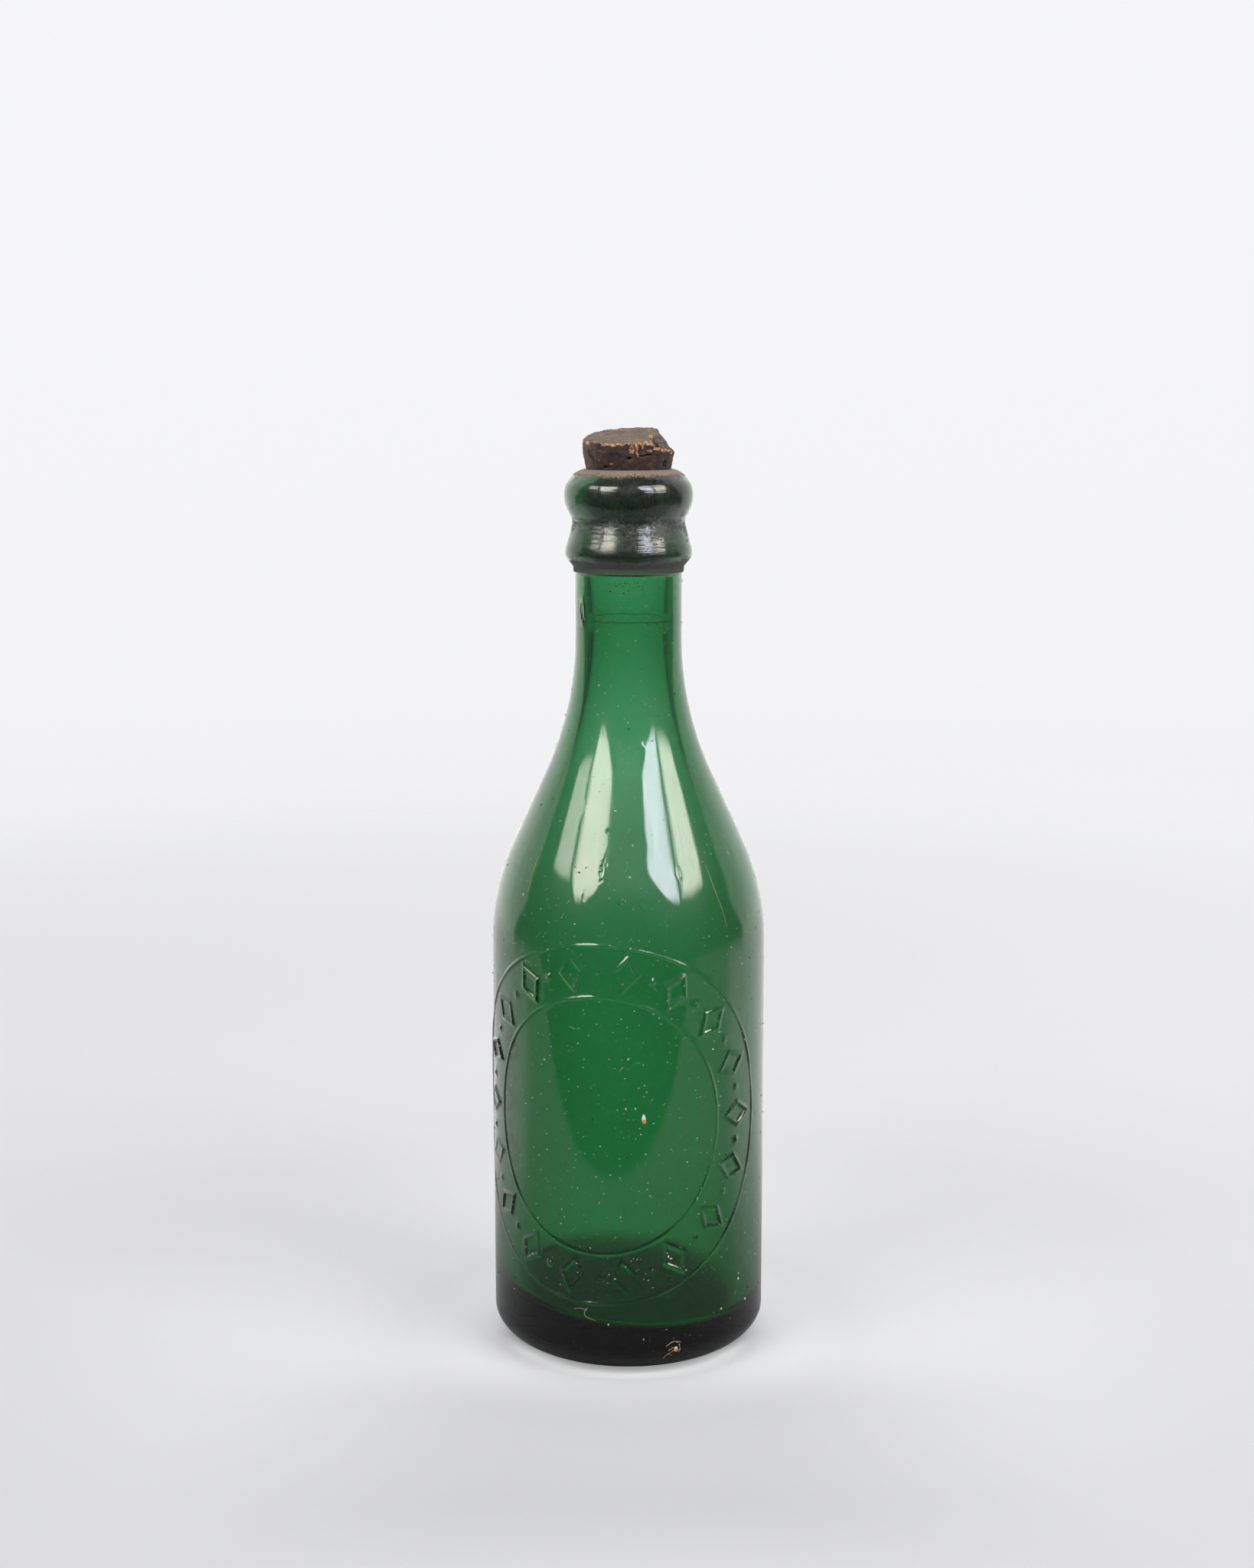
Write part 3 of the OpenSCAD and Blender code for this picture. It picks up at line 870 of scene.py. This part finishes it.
# Dust on the lip. Grey dust sticks to the dull lip, thick and brown round the foot of the cork, and a
# line of brown dirt lies under the lip's edge. It is a skin a few hundredths of a millimetre thick.
DUST_FOOT, DUST_OVER, DUST_UNDER, DUST_COLUMNS = 181.4, 0.07, 0.03, 144
dusty = np.array([point for point in outline[:OUTSIDE_ROWS] if point[1] > DUST_FOOT])
slope = np.gradient(dusty, axis=0)
slope /= np.linalg.norm(slope, axis=1)[:, None]
out_way = np.stack([slope[:, 1], -slope[:, 0]], axis=1)
over, under = dusty + DUST_OVER * out_way, dusty + DUST_UNDER * out_way
skin_outline = np.concatenate([over, under[::-1], over[:1]])

dust, tree = new_material("lip_dust")
spot = object_place(tree)
across, _, height = parts(spot)
up = share(height, 0.1815, 0.2065)
# How much dust there is, from under the lip (0) up to the mouth (1)
COVER = [(0, 0), (0.035, 0.62), (0.052, 0.2), (0.065, 0.85), (0.15, 0.8), (0.18, 0.45), (0.23, 0.22),
         (0.36, 0.34), (0.51, 0.52), (0.6, 0.34), (0.7, 0.18), (0.84, 0.24), (0.925, 0.42), (0.962, 0.8),
         (0.985, 1)]
cover = ramp(up, [(place, (much,) * 3) for place, much in COVER])
cover = out("SeparateColor", {0: cover})
# More of the film lies on the right of the cone: dust, and a painted shade that dims the reflection there
dust_and_shade_right = product(between(across, -0.002, 0.006, 0, 0.35), between(up, 0.55, 0.45))
cover = maths("MULTIPLY_ADD", cover, dust_and_shade_right, cover)
patches = spotted(spot, 230, 3)
streaks = spotted(spot, (1300, 1300, 4200), 5, 0.7)
grains = spotted(spot, 2600, 3, 0.7)
level = maths("ADD", maths("MULTIPLY_ADD", patches, 0.5, -0.25),
              blend(between(up, 0.8, 0.95), streaks, grains))
past_edge = maths("SUBTRACT", level, maths("SUBTRACT", 0.86, maths("MULTIPLY", cover, 0.62)))
thickest = between(up, 0.9, 0.97, 0.6, 0.96)
alpha = maths("MAXIMUM", maths("MULTIPLY", cover, 0.04), between(past_edge, -0.03, 0.05, 0, thickest))
is_brown = maths("MAXIMUM", between(up, 0.86, 0.96), between(up, 0.07, 0.04))
greys = mixed(between(up, 0.14, 0.2), (0.065, 0.068, 0.06, 1), (0.17, 0.165, 0.16, 1))
tint = mixed(is_brown, greys, (0.36, 0.275, 0.215, 1))
darker = mixed(0.4, tint, (0.02, 0.02, 0.02, 1))
matt(mixed(between(grains, 0.35, 0.65), darker, tint), 0.8, Alpha=alpha)

lip_dust = new_object("lip_dust", new_mesh("dust_outline", [(r * MM, 0, z * MM) for r, z in skin_outline]))
grown(lip_dust, lathe, Columns=DUST_COLUMNS, Material=dust)
bm = bmesh.new()
bm.from_mesh(lip_dust.data)
bmesh.ops.remove_doubles(bm, verts=bm.verts, dist=1e-7)
bmesh.ops.recalc_face_normals(bm, faces=bm.faces)
bm.to_mesh(lip_dust.data)
bm.free()
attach(lip_dust, "bottle")


# Specks. Pale, dark and tan grit and a fine dust stick all over the old glass, more of it on the neck
# and round the crumb at the heel. The tree scatters small flattened grains over the outside of a piece,
# between two heights and within a reach of a place.
scatter, given = geometry_group(
    "scatter", Density="Float", Smallest="Float", Largest="Float", Low="Float", High="Float",
    Centre="Vector", Reach="Float", Seed="Int", Material="Material")
here = put(scatter, "GeometryNodeInputPosition").outputs[0]
height = parts(here)[2]
row = put(scatter, "GeometryNodeInputNamedAttribute", {"Name": "row"}, data_type="FLOAT").outputs[0]
apart = out("VectorMath", {0: here, 1: given["Centre"]}, operation="DISTANCE").node
chosen = product(maths("LESS_THAN", row, OUTSIDE_ROWS - 3),
                 maths("GREATER_THAN", height, given["Low"]),
                 maths("LESS_THAN", height, given["High"]),
                 maths("LESS_THAN", apart.outputs["Value"], given["Reach"]))
points = out("GeometryNodeDistributePointsOnFaces", {
    "Mesh": given["Geometry"], "Selection": chosen, "Density": given["Density"], "Seed": given["Seed"]})
# Most grains are small
chance = {2: 0, 3: 1, "Seed": given["Seed"]}
chance = out("FunctionNodeRandomValue", chance, data_type="FLOAT").node.outputs[1]
span = maths("SUBTRACT", given["Largest"], given["Smallest"])
size = maths("MULTIPLY_ADD", maths("POWER", chance, 3), span, given["Smallest"])
# They are flattened and uneven
shape = {0: (0.5, 0.6, 0.35), 1: (1.3, 1, 0.7), "Seed": given["Seed"]}
shape = out("FunctionNodeRandomValue", shape, data_type="FLOAT_VECTOR")
scale = out("VectorMath", {0: shape, "Scale": size}, operation="SCALE")
ball = put(scatter, "GeometryNodeMeshIcoSphere", {"Radius": 1, "Subdivisions": 1}).outputs[0]
grains = out("GeometryNodeInstanceOnPoints", {
    "Points": points, "Instance": ball, "Rotation": points.node.outputs["Rotation"], "Scale": scale})
end_group(grains, given["Material"])


def plain(name, colour):
    """A plain matt material, uneven in its tone."""
    material, tree = new_material(name)
    shade = tuple(0.45 * part for part in colour)
    mottle = spotted(object_place(tree), 900, 3)
    matt(ramp(mottle, [(0.38, shade), (0.62, colour)]), 0.8)
    return material


rough_glass = BVHTree.FromObject(bottle, bpy.context.evaluated_depsgraph_get())
crumb_place = place_on(rough_glass, *POINTS["crumb"])
EVERYWHERE = (0, 0, 0.09), 1
GRIT = {
    # name: grains per square metre, smallest, largest, low and high in millimetres, centre and reach in
    # metres, colour
    "pale_grit": (21000, 0.08, 0.28, 8, 168, *EVERYWHERE, (0.7, 0.67, 0.56)),
    "dark_grit": (30000, 0.05, 0.3, 8, 182, *EVERYWHERE, (0.012, 0.014, 0.01)),
    "fine_dust": (150000, 0.1, 0.19, 22, 182, *EVERYWHERE, (0.56, 0.58, 0.46)),
    "tan_grit": (25000, 0.09, 0.24, 60, 182, *EVERYWHERE, (0.45, 0.28, 0.13)),
    "neck_grit": (900000, 0.07, 0.26, 174, 182, (-0.0006, -0.0122, 0.1795), 0.0048, (0.05, 0.03, 0.015)),
    "heel_crumbs": (900000, 0.06, 0.22, 2, 12, tuple(crumb_place), 0.0022, (0.66, 0.46, 0.25)),
}
FIRST_SEED = 3
for seed, (name, values) in enumerate(GRIT.items(), FIRST_SEED):
    density, small, large, low, high, centre, reach, colour = values
    grit = new_object(name, bottle_mesh)
    grown(grit, scatter, Density=float(density), Smallest=small * MM, Largest=large * MM, Low=low * MM,
          High=high * MM, Centre=centre, Reach=float(reach), Seed=seed, Material=plain(name, colour))
    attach(grit, "bottle")


# Threads. A thread of lint clings to the foot of the bottle, fibres to a crumb beside it, two hair-thin
# tan streaks run down its shoulder, and a pale tube along the edge of a blister on its neck is a painted
# highlight. The tree makes a tube along a line that lies on the glass.
thread, given = geometry_group("thread", Thickness="Float", Material="Material")
run = out("GeometryNodeMeshToCurve", {"Mesh": given["Geometry"]})
section = out("GeometryNodeCurvePrimitiveCircle", {"Radius": given["Thickness"], "Resolution": 8})
tube = out("GeometryNodeCurveToMesh", {"Curve": run, "Profile Curve": section, "Fill Caps": True})
end_group(tube, given["Material"])


def on_glass(turn, height):
    """Place and normal on the glass at degrees from the front and a height in millimetres."""
    t = math.radians(turn)
    outward = Vector((math.sin(t), -math.cos(t), 0))
    place, normal, _, _ = rough_glass.ray_cast(outward * 0.06 + Vector((0, 0, height * MM)), -outward)
    return place, normal


THREADS = {
    # name: radius in millimetres, colour, place, lines as degrees to the right of it and millimetres up
    "lint": (0.05, (0.5, 0.42, 0.3), seat("lint"), [
        [(-4.7, 0.9), (-2.1, 1.2), (0.9, 0.9)], [(1.1, 1.5), (-0.2, 0.4), (0.5, -0.7), (4.5, -1.4)]]),
    "crumb_fibres": (0.05, (0.66, 0.58, 0.38), seat("crumb"), [
        [(-4.3, 1), (-1.3, 1.9), (1.8, 1.6)], [(-5, -2.3), (-3.8, -1.4), (-2.1, -0.7), (-0.5, 0)],
        [(1.3, 1), (1.8, 0), (1.3, -0.9)], [(-2.5, 0), (-1.3, 0.5), (0, 0.2)]]),
    # A pale tube along the blister's edge, a painted highlight for its glint
    "blister_painted_glint": (0.05, (0.8, 0.84, 0.8), seat("neck_blister"), [
        [(-3.5, -2.6), (-1.5, 1.6), (0, 2.9), (3, 0.6), (4, -2.2)]]),
    "streak_right": (0.07, (0.42, 0.3, 0.14), (42, 111), [
        [(-2.4, 7.3), (-0.8, 2), (1.6, -3), (2.7, -6.8)]]),
    "streak_left": (0.06, (0.42, 0.3, 0.14), (-49.9, 117), [[(0.7, 4.5), (0, 0), (-0.1, -5.3)]]),
}
for name, (thickness, colour, (turn, height), lines) in THREADS.items():
    places, links = [], []
    for offsets in lines:
        run = [on_glass(turn + right, height + up)[0] for right, up in curve(offsets, 10)]
        links += [(i, i + 1) for i in range(len(places), len(places) + len(run) - 1)]
        places += run
    piece = new_object(name, new_mesh(name, places, links))
    grown(piece, thread, Thickness=thickness * MM, Material=plain(name, colour))
    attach(piece, "bottle")

# A brown stain marks how high the drink once stood, a thin ring on the wall of the bore.
STAIN_Z, STAIN_R, STAIN_THICK, STAIN_WANDER, STAIN_STEPS = 171.9, 8.04, 0.07, 0.25, 90
places = []
for turn in np.arange(STAIN_STEPS) * math.tau / STAIN_STEPS:
    x, y = math.sin(turn), math.cos(turn)
    z = STAIN_Z + STAIN_WANDER * noise.noise((2 * x, 2 * y, 0))
    places.append(Vector((STAIN_R * x, -STAIN_R * y, z)) * MM)
links = [(i, (i + 1) % STAIN_STEPS) for i in range(STAIN_STEPS)]
stain = new_object("stain", new_mesh("stain", places, links))
grown(stain, thread, Thickness=STAIN_THICK * MM, Material=plain("stain", (0.1, 0.05, 0.02)))
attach(stain, "bottle")

# Flecks. Flat white flecks stick to the wall. The largest is drop-shaped, with an orange
# foot.
flecks_paint, tree = new_material("flecks")
is_orange = between(own(tree, "orange"), 0.45, 0.6)
matt(mixed(is_orange, (0.8, 0.78, 0.7, 1), (0.62, 0.26, 0.06, 1)), 0.7)
FLECKS = [
    # degrees from the front, height, half-width, half-height, how orange its foot is
    (*seat("pale_fleck"), 0.5, 1.15, 1), (*seat("crumb"), 0.5, 0.65, 2), (53, 19.6, 0.25, 0.3, 0),
    (58.6, 13.7, 0.3, 0.25, 0), (42.2, 14, 0.25, 0.2, 0), (16.5, 29.2, 0.22, 0.3, 0),
    (17.6, 28.6, 0.3, 0.15, 0), (15.9, 30.1, 0.12, 0.12, 0),
]
FLECK_THICK = 0.12
bm = bmesh.new()
orange_layer = bm.verts.layers.float.new("orange")
for turn, height, half_w, half_h, orange in FLECKS:
    place, normal = on_glass(turn, height)
    side_way = Vector((0, 0, 1)).cross(normal).normalized()
    up_way = normal.cross(side_way)
    for vert in bmesh.ops.create_icosphere(bm, subdivisions=3, radius=1)["verts"]:
        u, v, w = vert.co
        wobble = 1 + 0.3 * noise.noise((2 * u + turn, 2 * v, height))
        u *= half_w * (1 - 0.45 * v) * wobble
        vert[orange_layer] = orange * (0.5 - 0.6 * v)
        vert.co = place + (side_way * u + up_way * v * half_h * wobble + normal * w * FLECK_THICK) * MM
fleck_mesh = bpy.data.meshes.new("flecks")
bm.to_mesh(fleck_mesh)
bm.free()
fleck_mesh.shade_smooth()
flecks = new_object("flecks", fleck_mesh, flecks_paint)
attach(flecks, "bottle")


# Finish.
def corners(piece, wanted=lambda place: True):
    """Image places of those points of a piece's mesh that are wanted."""
    return [image_of(vert.co) for vert in piece.data.vertices if wanted(vert.co / MM)]


def middle(seen):
    """The middle of the image places."""
    return tuple(np.mean([np.min(seen, axis=0), np.max(seen, axis=0)], axis=0))


def on_ring(oval):
    """A test for the crest of one of the raised rings."""
    def test(p):
        s = math.atan2(p.x, -p.y) * BODY_R
        return 10 < p.z < 110 and math.hypot(p.x, p.y) > BODY_R - 1 and oval_gap(s, p.z, oval) < 0.2
    return test


def at_mark(mark):
    """A test for the inside of a mark on the glass."""
    return lambda p: mark_gap(math.atan2(p.x, -p.y) * BODY_R, p.z, mark) > 0.3 and p.y < -6


def utmost(pick, axis, seen):
    """The image place with the least (min) or the most (max) x (axis 0) or y (axis 1)."""
    return pick(seen, key=lambda place: place[axis])


glass_seen, cork_seen = corners(bottle), corners(cork)
lip_front = corners(bottle, lambda p: abs(p.z - lip_z / MM) < 0.1 and p.y < -12 and abs(p.x) < 0.7)
outer_seen, inner_seen = corners(bottle, on_ring(OUTER_OVAL)), corners(bottle, on_ring(INNER_OVAL))
shows = {
    "bottle_left": utmost(min, 0, glass_seen),
    "bottle_right": utmost(max, 0, glass_seen),
    "cork_top": utmost(min, 1, cork_seen),
    "base_bottom": utmost(max, 1, glass_seen),
    "lip_lower_edge": middle(lip_front),
    "upper_roll_right": utmost(max, 0, corners(bottle, lambda p: p.z > 196)),
    "lower_ring_left": utmost(min, 0, corners(bottle, lambda p: 185 < p.z < 191)),
    "cork_break_low": utmost(max, 0, cork_seen),
    "outer_oval_bottom": utmost(max, 1, outer_seen),
    "outer_oval_right": utmost(max, 0, outer_seen),
    "inner_oval_bottom": utmost(max, 1, inner_seen),
    "neck_blister": middle(corners(bottle, at_mark(MARKS[0]))),
    "pitted_patch": middle(corners(bottle, at_mark(MARKS[1]))),
    "pale_fleck": middle(corners(flecks, lambda p: 50 < p.z < 70)),
    "crumb": middle(corners(flecks, lambda p: p.z < 9)),
    "lint": middle(corners(bpy.data.objects["lint"])),
}

low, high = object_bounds()
